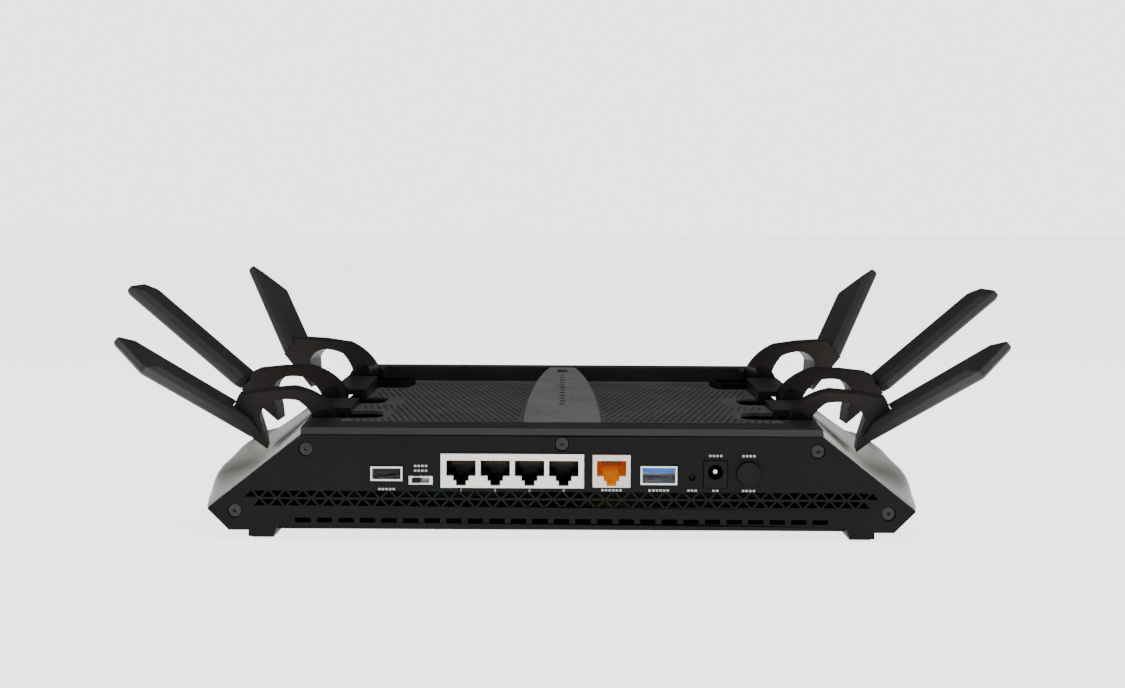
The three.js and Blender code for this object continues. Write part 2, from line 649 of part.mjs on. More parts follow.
add('lan_jack_block', jackBlock(LAN, 4), jackWhite);
add('wan_jack', jackBlock(WAN, 1), jackWhite);
add('usb2_socket', usbShell(USB2), steel);
add('usb2_tongue', usbTongue(USB2), rubberBlack);
add('usb3_socket', usbShell(USB3), steel);
add('usb3_tongue', usbTongue(USB3), tongueBlue);
add('dc_jack', dcJack(), shellBlack);
add('dc_jack_pin', rodY(DC.x, DC.z + 0.9, 0.9, 1.5, DC.d - 2 - GAP, 12), steel);
add('led_switch_body', slideSwitchBody(), switchWhite);
add('led_switch_slider', slideSwitchKnob(), shellBlack);
add('reset_plunger', resetPlunger(), rubberBlack);
add('reset_switch', resetSwitch(), shellBlack);
add('power_button', powerButton(), shellBlack);
add('power_switch', powerSwitch(), shellBlack);
for (const [name, at] of Object.entries(PANEL_SCREWS)) add(name, panelScrew(at), darkSteel);

add('main_board', mainBoard(), boardGreen);
add('heat_sink', heatSink(), aluminium);
add('light_board', lightBoard(), boardGreen);

for (const [place, [y0, y1]] of Object.entries(LEG_SPANS)) {
  for (const sign of [-1, 1]) {
    const x = sign * (LEG_X + 0.4);
    const pad = block(x - 4.4, x + 4.4, y0 + 1.5, y1 - 1.5, 0, LEG_Z - GAP / 2);
    add(`foot_${place}_${sign < 0 ? 'left' : 'right'}`, pad, rubberBlack);
  }
}

for (const a of ANTENNAS) {
  for (const sign of [-1, 1]) addAntenna(a, sign);
}

export default router;
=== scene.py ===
"""Looks of a wireless router with six folding antennas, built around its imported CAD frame.

Lengths in this file are millimetres in the router's own frame, turned to metres as meshes are made.
The port panel faces -Y, the front faces +Y and the table is at z = 0.
"""

import math

import bmesh
import bpy
from mathutils import Matrix, Vector


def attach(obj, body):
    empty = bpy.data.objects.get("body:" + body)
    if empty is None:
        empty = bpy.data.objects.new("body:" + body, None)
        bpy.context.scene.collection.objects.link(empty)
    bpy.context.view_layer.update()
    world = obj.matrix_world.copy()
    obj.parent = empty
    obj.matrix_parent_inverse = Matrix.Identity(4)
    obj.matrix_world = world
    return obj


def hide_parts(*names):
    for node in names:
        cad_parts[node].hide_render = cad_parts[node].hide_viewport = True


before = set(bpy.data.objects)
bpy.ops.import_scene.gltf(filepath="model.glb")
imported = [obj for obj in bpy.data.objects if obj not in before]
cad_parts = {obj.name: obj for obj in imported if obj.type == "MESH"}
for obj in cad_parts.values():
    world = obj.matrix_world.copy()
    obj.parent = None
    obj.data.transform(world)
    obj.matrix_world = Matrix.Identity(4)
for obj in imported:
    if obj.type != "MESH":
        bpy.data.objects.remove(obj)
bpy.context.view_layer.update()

MM = 0.001
CENTRE_Y = 112.95          # depth of the model's middle, counted from the port panel
DEPTH = 226.8
DECK_Y = (22.0, 206.0)     # depth span of the deck opening
DECK_HALF_W = 96.0
GRILLE_TOP_Z = 47.0
RIM_Z = (46.8, 54.5)       # rim height at the port side and at the front
LIGHT_BAR_HALF_W = 16.8
LIGHT_BAR_REACH = 200.0


WELD_DISTANCE = 0.002      # doubled vertices of the CAD meshes are closer than this

# ---- small helpers ---------------------------------------------------------


def lerp(a, b, t):
    return a + (b - a) * t


def smooth(a, b, v):
    t = min(max((v - a) / (b - a), 0.0), 1.0)
    return t * t * (3 - 2 * t)


def place(points):
    """Millimetres with y counted from the port panel, to metres in the router's frame."""
    return [Vector((x * MM, (y - CENTRE_Y) * MM, z * MM)) for x, y, z in points]


def make_object(name, mesh, material=None):
    obj = bpy.data.objects.new(name, mesh)
    bpy.context.scene.collection.objects.link(obj)
    if material is not None:
        mesh.materials.append(material)
    return obj


def mesh_from(name, points, faces):
    mesh = bpy.data.meshes.new(name)
    mesh.from_pydata([tuple(p) for p in points], [], faces)
    bm = bmesh.new()
    bm.from_mesh(mesh)
    bmesh.ops.recalc_face_normals(bm, faces=bm.faces)
    bm.to_mesh(mesh)
    bm.free()
    return mesh


def ring_mesh(name, rings):
    """Skin through rings of equal length, capped at both ends."""
    n = len(rings[0])
    points = [p for ring in rings for p in ring]
    faces = []
    for i in range(len(rings) - 1):
        for j in range(n):
            k = (j + 1) % n
            faces.append((i * n + j, i * n + k, (i + 1) * n + k, (i + 1) * n + j))
    faces.append(tuple(range(n)))
    faces.append(tuple(reversed(range((len(rings) - 1) * n, len(rings) * n))))
    return mesh_from(name, points, faces)


def prism(outline, low, high):
    """Vertices and faces of an upright prism over a plan outline, as lists."""
    n = len(outline)
    points = [(x, y, low) for x, y in outline] + [(x, y, high) for x, y in outline]
    faces = [tuple(reversed(range(n))), tuple(range(n, 2 * n))]
    faces += [(i, (i + 1) % n, n + (i + 1) % n, n + i) for i in range(n)]
    return points, faces


def gather(parts):
    """Joins several (points, faces) lists into one."""
    points, faces = [], []
    for p, f in parts:
        start = len(points)
        points += p
        faces += [tuple(i + start for i in face) for face in f]
    return points, faces


def cuboid(x0, x1, y0, y1, z0, z1):
    return prism([(x0, y0), (x1, y0), (x1, y1), (x0, y1)], z0, z1)


def soften(obj, width, segments=2, angle=28):
    """Rounds the sharp edges of an object and shades it smooth."""
    flatten = obj.modifiers.new("flatten", "DECIMATE")
    flatten.decimate_type = "DISSOLVE"
    flatten.angle_limit = math.radians(1.0)
    bevel = obj.modifiers.new("edges", "BEVEL")
    bevel.width = width * MM
    bevel.segments = segments
    bevel.limit_method = "ANGLE"
    bevel.angle_limit = math.radians(angle)
    bevel.harden_normals = True
    for polygon in obj.data.polygons:
        polygon.use_smooth = True
    return obj


def apply_modifiers(obj):
    bpy.context.view_layer.update()
    depsgraph = bpy.context.evaluated_depsgraph_get()
    mesh = bpy.data.meshes.new_from_object(obj.evaluated_get(depsgraph))
    obj.modifiers.clear()
    obj.data = mesh
    return obj


def weld(mesh):
    """Joins the doubled vertices of a mesh, so that it is one closed skin."""
    bm = bmesh.new()
    bm.from_mesh(mesh)
    bmesh.ops.remove_doubles(bm, verts=bm.verts, dist=WELD_DISTANCE * MM)
    bm.to_mesh(mesh)
    bm.free()


def carve(obj, tool_mesh, name):
    """Cuts a closed mesh out of an object."""
    weld(obj.data)
    tool = make_object(name, tool_mesh)
    cut = obj.modifiers.new("cut", "BOOLEAN")
    cut.operation = "DIFFERENCE"
    cut.solver = "MANIFOLD"
    cut.object = tool
    apply_modifiers(obj)
    bpy.data.objects.remove(tool)
    return obj


def shade_by_angle(obj, angle=30):
    for polygon in obj.data.polygons:
        polygon.use_smooth = True
    bm = bmesh.new()
    bm.from_mesh(obj.data)
    for edge in bm.edges:
        edge.smooth = len(edge.link_faces) == 2 and edge.calc_face_angle(0) < math.radians(angle)
    bm.to_mesh(obj.data)
    bm.free()
    return obj


# ---- materials -------------------------------------------------------------


def srgb(r, g, b):
    """Linear colour from 0-255 screen values."""
    def line(v):
        v /= 255
        return v / 12.92 if v <= 0.04045 else ((v + 0.055) / 1.055) ** 2.4
    return (line(r), line(g), line(b), 1.0)


class Nodes:
    """Short hand for building one material's node tree."""

    def __init__(self, name):
        self.material = bpy.data.materials.new(name)
        self.material.use_nodes = True
        self.tree = self.material.node_tree
        self.shader = self.tree.nodes["Principled BSDF"]
        self.position = self.add("ShaderNodeTexCoord").outputs["Object"]

    def add(self, kind, inputs=None, **settings):
        node = self.tree.nodes.new(kind)
        for key, value in settings.items():
            setattr(node, key, value)
        for key, value in (inputs or {}).items():
            if isinstance(value, bpy.types.NodeSocket):
                self.tree.links.new(value, node.inputs[key])
            else:
                node.inputs[key].default_value = value
        return node

    def link(self, output, socket):
        self.tree.links.new(output, self.shader.inputs[socket])

    def noise(self, scale, detail=4.0, roughness=0.6):
        inputs = {"Vector": self.position, "Scale": scale, "Detail": detail, "Roughness": roughness}
        return self.add("ShaderNodeTexNoise", inputs).outputs["Fac"]

    def span(self, value, low, high, from_low=0.0, from_high=1.0):
        inputs = {"Value": value, "From Min": from_low, "From Max": from_high, "To Min": low, "To Max": high}
        return self.add("ShaderNodeMapRange", inputs).outputs["Result"]

    def blend(self, factor, a, b):
        node = self.add("ShaderNodeMix", data_type="RGBA")
        for index, value in ((0, factor), (6, a), (7, b)):
            if isinstance(value, bpy.types.NodeSocket):
                self.tree.links.new(value, node.inputs[index])
            else:
                node.inputs[index].default_value = value
        return node.outputs[2]

    def bump(self, height, strength, distance):
        inputs = {"Height": height, "Strength": strength, "Distance": distance}
        self.link(self.add("ShaderNodeBump", inputs).outputs["Normal"], "Normal")


def shaded(colour, change):
    """The same colour, lighter or darker."""
    return tuple(c * change for c in colour[:3]) + (1.0,)


def moulded_plastic(name, colour, roughness, grain=2600, bump=0.25, spread=0.06,
                    coat=0.0, shine=0.3):
    """Moulded plastic: spark-eroded grain, faint cloudiness and handling marks in the gloss."""
    m = Nodes(name)
    cloud = m.noise(38, 3)
    colours = m.blend(m.span(cloud, 0, 1, 0.35, 0.65), shaded(colour, 0.86), shaded(colour, 1.14))
    m.link(colours, "Base Color")
    marks = m.noise(210, 6, 0.7)
    m.link(m.span(marks, roughness - spread, roughness + spread, 0.3, 0.7), "Roughness")
    pits = m.add("ShaderNodeTexVoronoi", {"Vector": m.position, "Scale": float(grain)}).outputs["Distance"]
    m.bump(pits, bump, 0.00012)
    m.shader.inputs["Specular IOR Level"].default_value = shine
    m.shader.inputs["Coat Weight"].default_value = coat
    m.shader.inputs["Coat Roughness"].default_value = 0.12
    return m.material


def silver_paint(name, colour, roughness):
    """Silver-grey paint over plastic: fine metal flake, and painted shade that darkens it towards its outer
    edges, where the curved panel falls into shade.
    """
    m = Nodes(name)
    axes = m.add("ShaderNodeSeparateXYZ", {"Vector": m.position})
    across = m.add("ShaderNodeMath", {0: axes.outputs["X"]}, operation="ABSOLUTE").outputs[0]
    # painted shade: the colour darkens outwards from |x| = 112 mm to about 0.7 of its brightness at 152 mm
    outward_painted_shade = m.span(across, 1.0, 0.62, 112 * MM, 152 * MM)
    flake = m.add("ShaderNodeTexVoronoi", {"Vector": m.position, "Scale": 5200.0}).outputs["Color"]
    tint = m.blend(m.span(flake, 0, 1, 0.2, 0.8), shaded(colour, 0.9), shaded(colour, 1.06))
    m.link(m.blend(outward_painted_shade, shaded(colour, 0.2), tint), "Base Color")
    m.link(m.span(m.noise(210, 6, 0.7), roughness - 0.05, roughness + 0.05, 0.3, 0.7), "Roughness")
    m.shader.inputs["Metallic"].default_value = 0.1
    return m.material


def plated_metal(name, colour, roughness):
    """Thin plated sheet metal with rolling streaks."""
    m = Nodes(name)
    stretch = {"Vector": m.position, "Scale": (60.0, 900.0, 2200.0)}
    stretched = m.add("ShaderNodeMapping", stretch).outputs["Vector"]
    streaks = m.add("ShaderNodeTexNoise", {"Vector": stretched, "Scale": 1.0, "Detail": 4.0}).outputs["Fac"]
    m.link(m.blend(streaks, shaded(colour, 0.8), shaded(colour, 1.1)), "Base Color")
    m.link(m.span(streaks, roughness * 0.7, roughness * 1.4, 0.3, 0.7), "Roughness")
    m.bump(streaks, 0.15, 0.00005)
    m.shader.inputs["Metallic"].default_value = 1.0
    return m.material


def socket_plastic(name, face_colour, inner_low, inside_roof_shaded, low_z, high_z, painted_glow=0.0):
    """Socket moulding with other colours inside than on its face, running from low_z to high_z in mm; the
    inside darkens towards the socket's roof, which is painted shade in the recess.

    A glow above 0 is painted light: the inside glows, though the moulding is no lamp, so that it is not lost
    in the dark.
    """
    m = Nodes(name)
    axes = m.add("ShaderNodeSeparateXYZ", {"Vector": m.position})
    # painted shade: the inside colour darkens from low_z up to high_z, towards the socket's roof
    inner = m.blend(m.span(axes.outputs["Z"], 0, 1, low_z * MM, high_z * MM), inner_low, inside_roof_shaded)
    mouth = -CENTRE_Y * MM
    depth = m.span(axes.outputs["Y"], 0, 1, mouth + 0.2 * MM, mouth + 2.2 * MM)
    cloud = m.noise(900, 3)
    face = m.blend(cloud, shaded(face_colour, 0.9), face_colour)
    m.link(m.blend(depth, face, inner), "Base Color")
    # painted light: the inside emits its own colour, though the socket is no lamp
    m.link(m.blend(depth, (0.0, 0.0, 0.0, 1.0), inner), "Emission Color")
    m.shader.inputs["Emission Strength"].default_value = painted_glow
    m.link(m.span(cloud, 0.35, 0.55, 0.3, 0.7), "Roughness")
    m.bump(cloud, 0.1, 0.00005)
    return m.material


def circuit_board(name):
    """Green solder mask with copper runs showing through."""
    m = Nodes(name)
    scale = {"Vector": m.position, "Scale": (260.0, 260.0, 1.0)}
    scaled = m.add("ShaderNodeMapping", scale).outputs["Vector"]
    inputs = {"Vector": scaled, "Scale": 1.0, "Mortar Size": 0.06}
    runs = m.add("ShaderNodeTexBrick", inputs).outputs["Fac"]
    m.link(m.blend(runs, srgb(18, 70, 40), srgb(40, 110, 62)), "Base Color")
    m.link(m.span(m.noise(400), 0.3, 0.5), "Roughness")
    m.bump(runs, 0.3, 0.00008)
    return m.material


FLOOR_GLOW = 2.6


def floor_paint(name):
    """Pale matt paint that glows, so that it is about as bright as the wall behind it."""
    m = Nodes(name)
    tone = m.noise(3)
    m.link(m.blend(tone, (0.86, 0.86, 0.85, 1), (0.9, 0.9, 0.9, 1)), "Base Color")
    m.shader.inputs["Roughness"].default_value = 0.9
    m.shader.inputs["Specular IOR Level"].default_value = 0.0
    m.shader.inputs["Emission Color"].default_value = (1.0, 1.0, 1.0, 1.0)
    m.shader.inputs["Emission Strength"].default_value = FLOOR_GLOW
    return m.material


SHELL = moulded_plastic("shell_black", srgb(13, 13, 14), 0.6, shine=0.14)
PANEL = moulded_plastic("panel_black", srgb(13, 13, 14), 0.6, grain=2200, bump=0.3, shine=0.12)
DECK = moulded_plastic("deck_black", srgb(82, 82, 82), 0.5, grain=3000)
RIM = moulded_plastic("rim_black", srgb(40, 40, 40), 0.33, grain=3600, bump=0.12, spread=0.04)
GLOSS = moulded_plastic("gloss_black", srgb(18, 18, 18), 0.24, grain=900, bump=0.03, spread=0.04, coat=0.15)
SILVER = silver_paint("silver_grey", srgb(216, 214, 209), 0.55)
ARM = moulded_plastic("arm_brown", srgb(28, 23, 20), 0.5, grain=3400, bump=0.12, spread=0.05, shine=0.2)
BLADE = moulded_plastic("blade_grey", srgb(38, 38, 38), 0.5, grain=2800)
BAR = moulded_plastic("bar_grey", srgb(122, 123, 120), 0.3, grain=4200, bump=0.08, spread=0.05)
WHITE = moulded_plastic("switch_white", srgb(226, 224, 218), 0.4, grain=3000, bump=0.1)
BLUE = moulded_plastic("tongue_blue", srgb(20, 92, 190), 0.35, grain=3000, bump=0.1)
RUBBER = moulded_plastic("rubber_black", srgb(24, 24, 24), 0.8, grain=1800, bump=0.5)
INK = moulded_plastic("print_grey", srgb(168, 168, 166), 0.6, grain=6000, bump=0.2)
WINDOW = moulded_plastic("light_window", srgb(40, 40, 40), 0.2, grain=900, bump=0.02)
STEEL = plated_metal("plated_steel", srgb(205, 206, 206), 0.28)
GOLD = plated_metal("contact_gold", srgb(60, 46, 26), 0.45)
DARK_STEEL = plated_metal("dark_steel", srgb(52, 52, 54), 0.42)
FIN = plated_metal("aluminium", srgb(160, 162, 165), 0.35)
BOARD = circuit_board("board_green")
CREAM = srgb(250, 246, 236)
# The darker second inside colour of each socket is painted shade under its roof.
LAN = socket_plastic("lan_cream", CREAM, srgb(30, 26, 24), srgb(5, 5, 5), 24.0, 28.0)
# painted light: the internet socket's inside glows faintly
WAN = socket_plastic("wan_cream", srgb(226, 220, 206), srgb(255, 196, 20), srgb(214, 96, 4),
                     25.5, 28.5, painted_glow=0.16)

NODE_MATERIALS = {
    "bottom_shell": SHELL, "rear_panel": PANEL, "top_frame": RIM, "light_bar": BAR, "front_bezel": GLOSS,
    "lan_jack_block": LAN, "wan_jack": WAN, "usb2_socket": STEEL, "usb3_socket": STEEL,
    "usb2_tongue": RUBBER,
    "usb3_tongue": BLUE, "dc_jack": SHELL, "dc_jack_pin": STEEL, "led_switch_body": WHITE,
    "led_switch_slider": SHELL, "reset_plunger": RUBBER, "reset_switch": SHELL, "power_switch": SHELL,
    "power_button": SHELL, "wifi_button": SHELL, "pairing_button": SHELL, "main_board": BOARD,
    "light_board": BOARD, "heat_sink": FIN,
}
PREFIX_MATERIALS = {
    "hinge_cradle": SHELL, "hinge_pin": DARK_STEEL, "screw_": DARK_STEEL, "foot_": RUBBER,
    "antenna_arm": ARM,
    "antenna_blade": BLADE, "side_panel": SILVER, "deck_grille": DECK,
}
EDGE_ROUND = {"antenna_arm": 1.5, "top_frame": 0.7, "front_bezel": 0.8, "bottom_shell": 0.6,
              "light_bar": 0.5,
              "rear_panel": 0.35, "foot_": 0.25, "power_button": 0.5, "hinge_cradle": 0.4, "usb": 0.12,
              "wifi_button": 0.5, "pairing_button": 0.5, "lan_jack": 0.15, "wan_jack": 0.15, "dc_jack": 0.25,
              "screw_": 0.2, "led_switch": 0.12}


def starting_with(name, table):
    for prefix, value in table.items():
        if name.startswith(prefix):
            return value
    return None


def dress_cad_nodes():
    for name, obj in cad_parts.items():
        obj.data.materials.clear()
        obj.data.materials.append(NODE_MATERIALS.get(name) or starting_with(name, PREFIX_MATERIALS))
        radius = starting_with(name, EDGE_ROUND)
        if radius:
            soften(obj, radius)


# ---- side panels -----------------------------------------------------------

SIDE_POINTS = [  # half profile: (x, z) at the ends, (x, z) at mid depth, and whether it bows out late
    ((127.0, 30.0), (141.5, 30.2), True),
    ((134.0, 24.7), (150.0, 27.5), True),
    ((141.0, 18.9), (155.0, 21.5), False),
    ((148.0, 13.0), (157.0, 14.0), False),
]
SIDE_Y = (3.3, 214.0)
SIDE_STEPS = 64


def rim_z(y):
    t = min(max((y - DECK_Y[0]) / (DECK_Y[1] - DECK_Y[0]), 0.0), 1.0)
    return lerp(RIM_Z[0], RIM_Z[1], t)


def rim_half_width(y):
    return 108.8 + 4.0 * math.sin(math.pi * y / DEPTH)


def side_profile(y):
    """Points of the outer surface from the rim down to the widest line."""
    from_end = min(y, DEPTH - y)
    late = smooth(20, 95, from_end)
    early = math.sin(math.pi / 2 * min(from_end / 75, 1.0))
    points = [(rim_half_width(y) + 0.3, rim_z(y) - 0.8)]
    for ends, middle, is_late in SIDE_POINTS:
        t = late if is_late else early
        points.append((lerp(ends[0], middle[0], t), lerp(ends[1], middle[1], t)))
    return points


def spline(p, q, r, s, t):
    """One coordinate of a Catmull-Rom curve, from q at t = 0 to r at t = 1."""
    square = 2 * p - 5 * q + 4 * r - s
    cube = 3 * q - p - 3 * r + s
    return 0.5 * (2 * q + (r - p) * t + square * t**2 + cube * t**3)


def rounded(points, steps=5):
    """Catmull-Rom curve through the points."""
    padded = [points[0]] + points + [points[-1]]
    curve = []
    for a, b, c, d in zip(padded, padded[1:], padded[2:], padded[3:]):
        for k in range(steps):
            t = k / steps
            curve.append(tuple(spline(p, q, r, s, t) for p, q, r, s in zip(a, b, c, d)))
    curve.append(points[-1])
    return curve


def build_side_panel(side, sign):
    rings = []
    for i in range(SIDE_STEPS + 1):
        y = lerp(SIDE_Y[0], SIDE_Y[1], i / SIDE_STEPS)
        outer = rounded(side_profile(y))
        inner = [(x - 0.6, z - 2.4) for x, z in outer]
        inner[-1] = (outer[-1][0] - 2.4, outer[-1][1])
        rings.append(place([(sign * x, y, z) for x, z in outer + inner[::-1]]))
    panel = make_object(f"silver_side_panel_{side}", ring_mesh(f"silver_side_panel_{side}", rings), SILVER)
    shade_by_angle(panel, 50)
    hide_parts(f"side_panel_{side}")
    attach(panel, "router")


# ---- deck ------------------------------------------------------------------

PLAIN_EDGE = 3.4           # unperforated strip along the sheet's edge
PLAIN_BY_BAR = 2.2         # and beside the light bar
CRADLE_Y = (49, 105, 178)  # middles of the unperforated patches round the hinge cradles
CRADLE_REACH_Y = 17.5
CRADLE_FROM_X = 76.5
HOLE_COLUMNS = range(-14, 40)
HOLE_POINT = 0.6           # height of a hole's pointed ends
HOLE_PITCH_X = 3.1
HOLE_PITCH_Y = 4.4
HOLE_DRIFT = 0.95          # sideways step of each row, which makes the slanted lines
HOLE_HALF = (0.8, 1.75)    # half width and half length of a hole


def light_bar_half_width(y):
    t = (y - DECK_Y[0]) / LIGHT_BAR_REACH
    return LIGHT_BAR_HALF_W * math.sqrt(max(1 - t * t, 0))


def hole_is_on_sheet(x, y):
    if abs(x) > DECK_HALF_W - PLAIN_EDGE or abs(x) < light_bar_half_width(y) + PLAIN_BY_BAR:
        return False
    near_cradle = any(abs(y - cy) < CRADLE_REACH_Y and abs(x) > CRADLE_FROM_X for cy in CRADLE_Y)
    return not near_cradle


def hole_outline(x, y, lean):
    w, h = HOLE_HALF
    shoulder = h - HOLE_POINT
    corners = [(-w, -shoulder), (0, -h), (w, -shoulder), (w, shoulder), (0, h), (-w, shoulder)]
    return [(x + a + lean * b * HOLE_DRIFT / HOLE_PITCH_Y, y + b) for a, b in corners]


def build_grille():
    parts = []
    rows = int((DECK_Y[1] - DECK_Y[0] - 14) / HOLE_PITCH_Y)
    for row in range(rows):
        y = DECK_Y[0] + 4.5 + row * HOLE_PITCH_Y
        for column in HOLE_COLUMNS:
            x = 3.0 + column * HOLE_PITCH_X + row * HOLE_DRIFT
            for sign in (-1, 1):
                if x > 0 and hole_is_on_sheet(x, y):
                    outline = hole_outline(sign * x, y, sign)
                    parts.append(prism(outline, GRILLE_TOP_Z - 3, GRILLE_TOP_Z + 2))
    points, faces = gather(parts)
    tools = mesh_from("grille_holes", place(points), faces)
    grille = make_object("perforated_deck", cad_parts["deck_grille"].data.copy())
    grille.data.materials.clear()
    grille.data.materials.append(DECK)
    carve(grille, tools, "grille_holes")
    shade_by_angle(grille, 20)
    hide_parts("deck_grille")
    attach(grille, "router")


def bar_top_z(y):
    return lerp(RIM_Z[0] + 0.3, RIM_Z[1], (y - DECK_Y[0] - 0.3) / (DECK_Y[1] - DECK_Y[0] - 0.6))


LIGHTS = 12
LIGHTS_FROM_Y = 72
LIGHT_PITCH = 9.0
LIGHT_LENGTH = 3.4
SUNK = -0.4                # depth of the marks' undersides below the bar's top


def build_light_marks():
    """Window and the column of status lights let into the top of the light bar."""
    def slab(x0, x1, y0, y1, rise):
        points = []
        for lift in (SUNK, rise):
            corners = ((x0, y0), (x1, y0), (x1, y1), (x0, y1))
            points += [(x, y, bar_top_z(y) + lift) for x, y in corners]
        sides = [(i, (i + 1) % 4, 4 + (i + 1) % 4, 4 + i) for i in range(4)]
        return points, [(3, 2, 1, 0), (4, 5, 6, 7)] + sides

    points, faces = slab(-2.8, 2.8, 186, 197, 0.06)
    window = make_object("light_bar_window", mesh_from("light_bar_window", place(points), faces), WINDOW)
    marks = []
    for i in range(LIGHTS):
        y = LIGHTS_FROM_Y + i * LIGHT_PITCH
        half = 1.5 - 0.25 * (i % 3)
        marks.append(slab(-half, half, y, y + LIGHT_LENGTH, 0.08))
    points, faces = gather(marks)
    lights = make_object("status_lights", mesh_from("status_lights", place(points), faces), WINDOW)
    for obj, slot in ((window, "bar_grey"), (lights, "bar_grey")):
        soften(obj, 0.15)
        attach(obj, "router")


# ---- antennas --------------------------------------------------------------

ARM_SLOPE = 40.0
ARM_HALF_W = 10.0
ARM_GAP = 0.3              # between the arm and the blade edge that runs back past it
ROOT_INNER = 9.6           # half width of a corner blade's root, on the side away from that edge
SHOULDER = 3.0             # a middle blade widens over this length
SPIKE = (25.5, -11.0)
BLADE_ROOT = 23.3
BLADE_LENGTH = 70.5        # of a middle blade
BLADE_WIDTH = 27.0
BLADE_T = 6.5
CORNER_REACH = 55.0        # length of a corner blade along its own slanted line
CORNER_START = (5.0, 11.6)
END_BEVEL = 6.5
SIDE_BEVEL = 2.2
ANTENNAS = {  # place: pivot, yaw, lift, splay
    "rear": ((105.0, 46.0, 45.0), -7.5, -1.7, -41.0),
    "middle": ((109.6, 105.0, 48.6), 0.0, 0.8, 0.0),
    "front": ((104.0, 180.8, 52.4), 7.5, 10.2, 41.0),
}


def blade_outline(splay, end=0.0, edge=0.0):
    """Blade in its own plane, drawn in by margins: x out along the blade, y along the hinge."""
    w = BLADE_WIDTH / 2 - edge
    if abs(splay) < 1:
        length = BLADE_LENGTH - end
        return [(0, edge - ARM_HALF_W), (SHOULDER, -w), (length - 1.5, -w), (length, 1.5 - w),
                (length, w - 1.5), (length - 1.5, w), (SHOULDER, w), (0, ARM_HALF_W - edge)]
    s = math.copysign(1, splay)
    cosine = math.cos(math.radians(splay))
    sine = abs(math.sin(math.radians(splay)))
    length = CORNER_REACH - end
    arm_side = ARM_HALF_W + ARM_GAP

    def at(along, across):
        x = CORNER_START[0] + cosine * along - sine * across
        y = CORNER_START[1] + sine * along + cosine * across
        return (x, s * y)

    back = (arm_side + edge - CORNER_START[1] - cosine * w) / sine
    points = [(0, s * (edge - ROOT_INNER)), at(length - 1, -w), at(length, 1 - w), at(length, w - 1),
              at(length - 1, w), at(back + edge, w), (edge * 0.5, s * (arm_side + edge * 0.3))]
    return points if s > 0 else points[::-1]


def blade_matrix(place_name, sign):
    (px, py, pz), yaw, lift, _ = ANTENNAS[place_name]
    turn = math.radians(yaw) if sign > 0 else math.pi - math.radians(yaw)
    slope = math.radians(ARM_SLOPE)
    root = (SPIKE[0] + math.cos(slope) * BLADE_ROOT, 0, SPIKE[1] + math.sin(slope) * BLADE_ROOT)
    pivot = Vector((sign * px, py - CENTRE_Y, pz)) * MM
    return (Matrix.Translation(pivot) @ Matrix.Rotation(turn, 4, "Z")
            @ Matrix.Rotation(-math.radians(lift), 4, "Y") @ Matrix.Translation(Vector(root) * MM)
            @ Matrix.Rotation(-slope, 4, "Y"))


def build_blade(side, sign, place_name):
    splay = sign * ANTENNAS[place_name][3]
    rings = []
    layers = ((0, 1.2, 0.8), (1.0, 0, 0), (BLADE_T - 2.6, 0, 0), (BLADE_T, END_BEVEL, SIDE_BEVEL))
    for height, end, edge in layers:
        rings.append([Vector((x, y, height)) * MM for x, y in blade_outline(splay, end, edge)])
    name = f"paddle_{side}_{place_name}"
    mesh = ring_mesh(name, rings)
    mesh.transform(blade_matrix(place_name, sign))
    blade = make_object(name, mesh, BLADE)
    soften(blade, 0.45, angle=12)
    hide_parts(f"antenna_blade_{side}_{place_name}")
    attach(blade, f"antenna_{side}_{place_name}")


# ---- port details ----------------------------------------------------------

LAN_X = -20.6
JACK_PITCH = 14.25
WAN_X = 20.7
WIRES = 8
WIRE_PITCH = 1.02
WIRE_HALF = 0.2
DASH = (1.0, 0.9)          # width and height of one printed dash
DASH_PITCH = 1.5
ROW_BELOW_Z = 21.4
PANEL_FACE = -0.04         # printed marks stand this far proud of the panel


def build_contacts():
    """Eight sprung wires in the roof of each network socket."""
    parts = []
    centres = [LAN_X + (i - 1.5) * JACK_PITCH for i in range(4)] + [WAN_X]
    for centre in centres:
        for k in range(WIRES):
            x = centre + (k - (WIRES - 1) / 2) * WIRE_PITCH
            parts.append(cuboid(x - WIRE_HALF, x + WIRE_HALF, 3.0, 16.0, 31.6, 32.0))
            parts.append(cuboid(x - WIRE_HALF, x + WIRE_HALF, 2.6, 3.0, 31.6, 33.2))
    points, faces = gather(parts)
    wires = make_object("socket_contacts", mesh_from("socket_contacts", place(points), faces), GOLD)
    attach(wires, "router")


def panel_marks():
    """Rows of short dashes printed on the port panel, where labels would be."""
    bars = []

    def row(x, z, count):
        for i in range(count):
            middle = x + (i - (count - 1) / 2) * DASH_PITCH
            w, h = DASH
            bars.append(cuboid(middle - w / 2, middle + w / 2, PANEL_FACE, 0.02, z - h / 2, z + h / 2))

    for x, count in ((-73, 5), (WAN_X, 6), (40.4, 6), (54.3, 3), (64, 2), (77.8, 4)):
        row(x, ROW_BELOW_Z, count)
    for x, z in ((-58.8, 31.2), (-58.8, 29.2), (64, 36.0), (77.8, 36.0)):
        row(x, z, 4)
    points, faces = gather(bars)
    marks = make_object("printed_dashes", mesh_from("printed_dashes", place(points), faces), INK)
    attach(marks, "router")


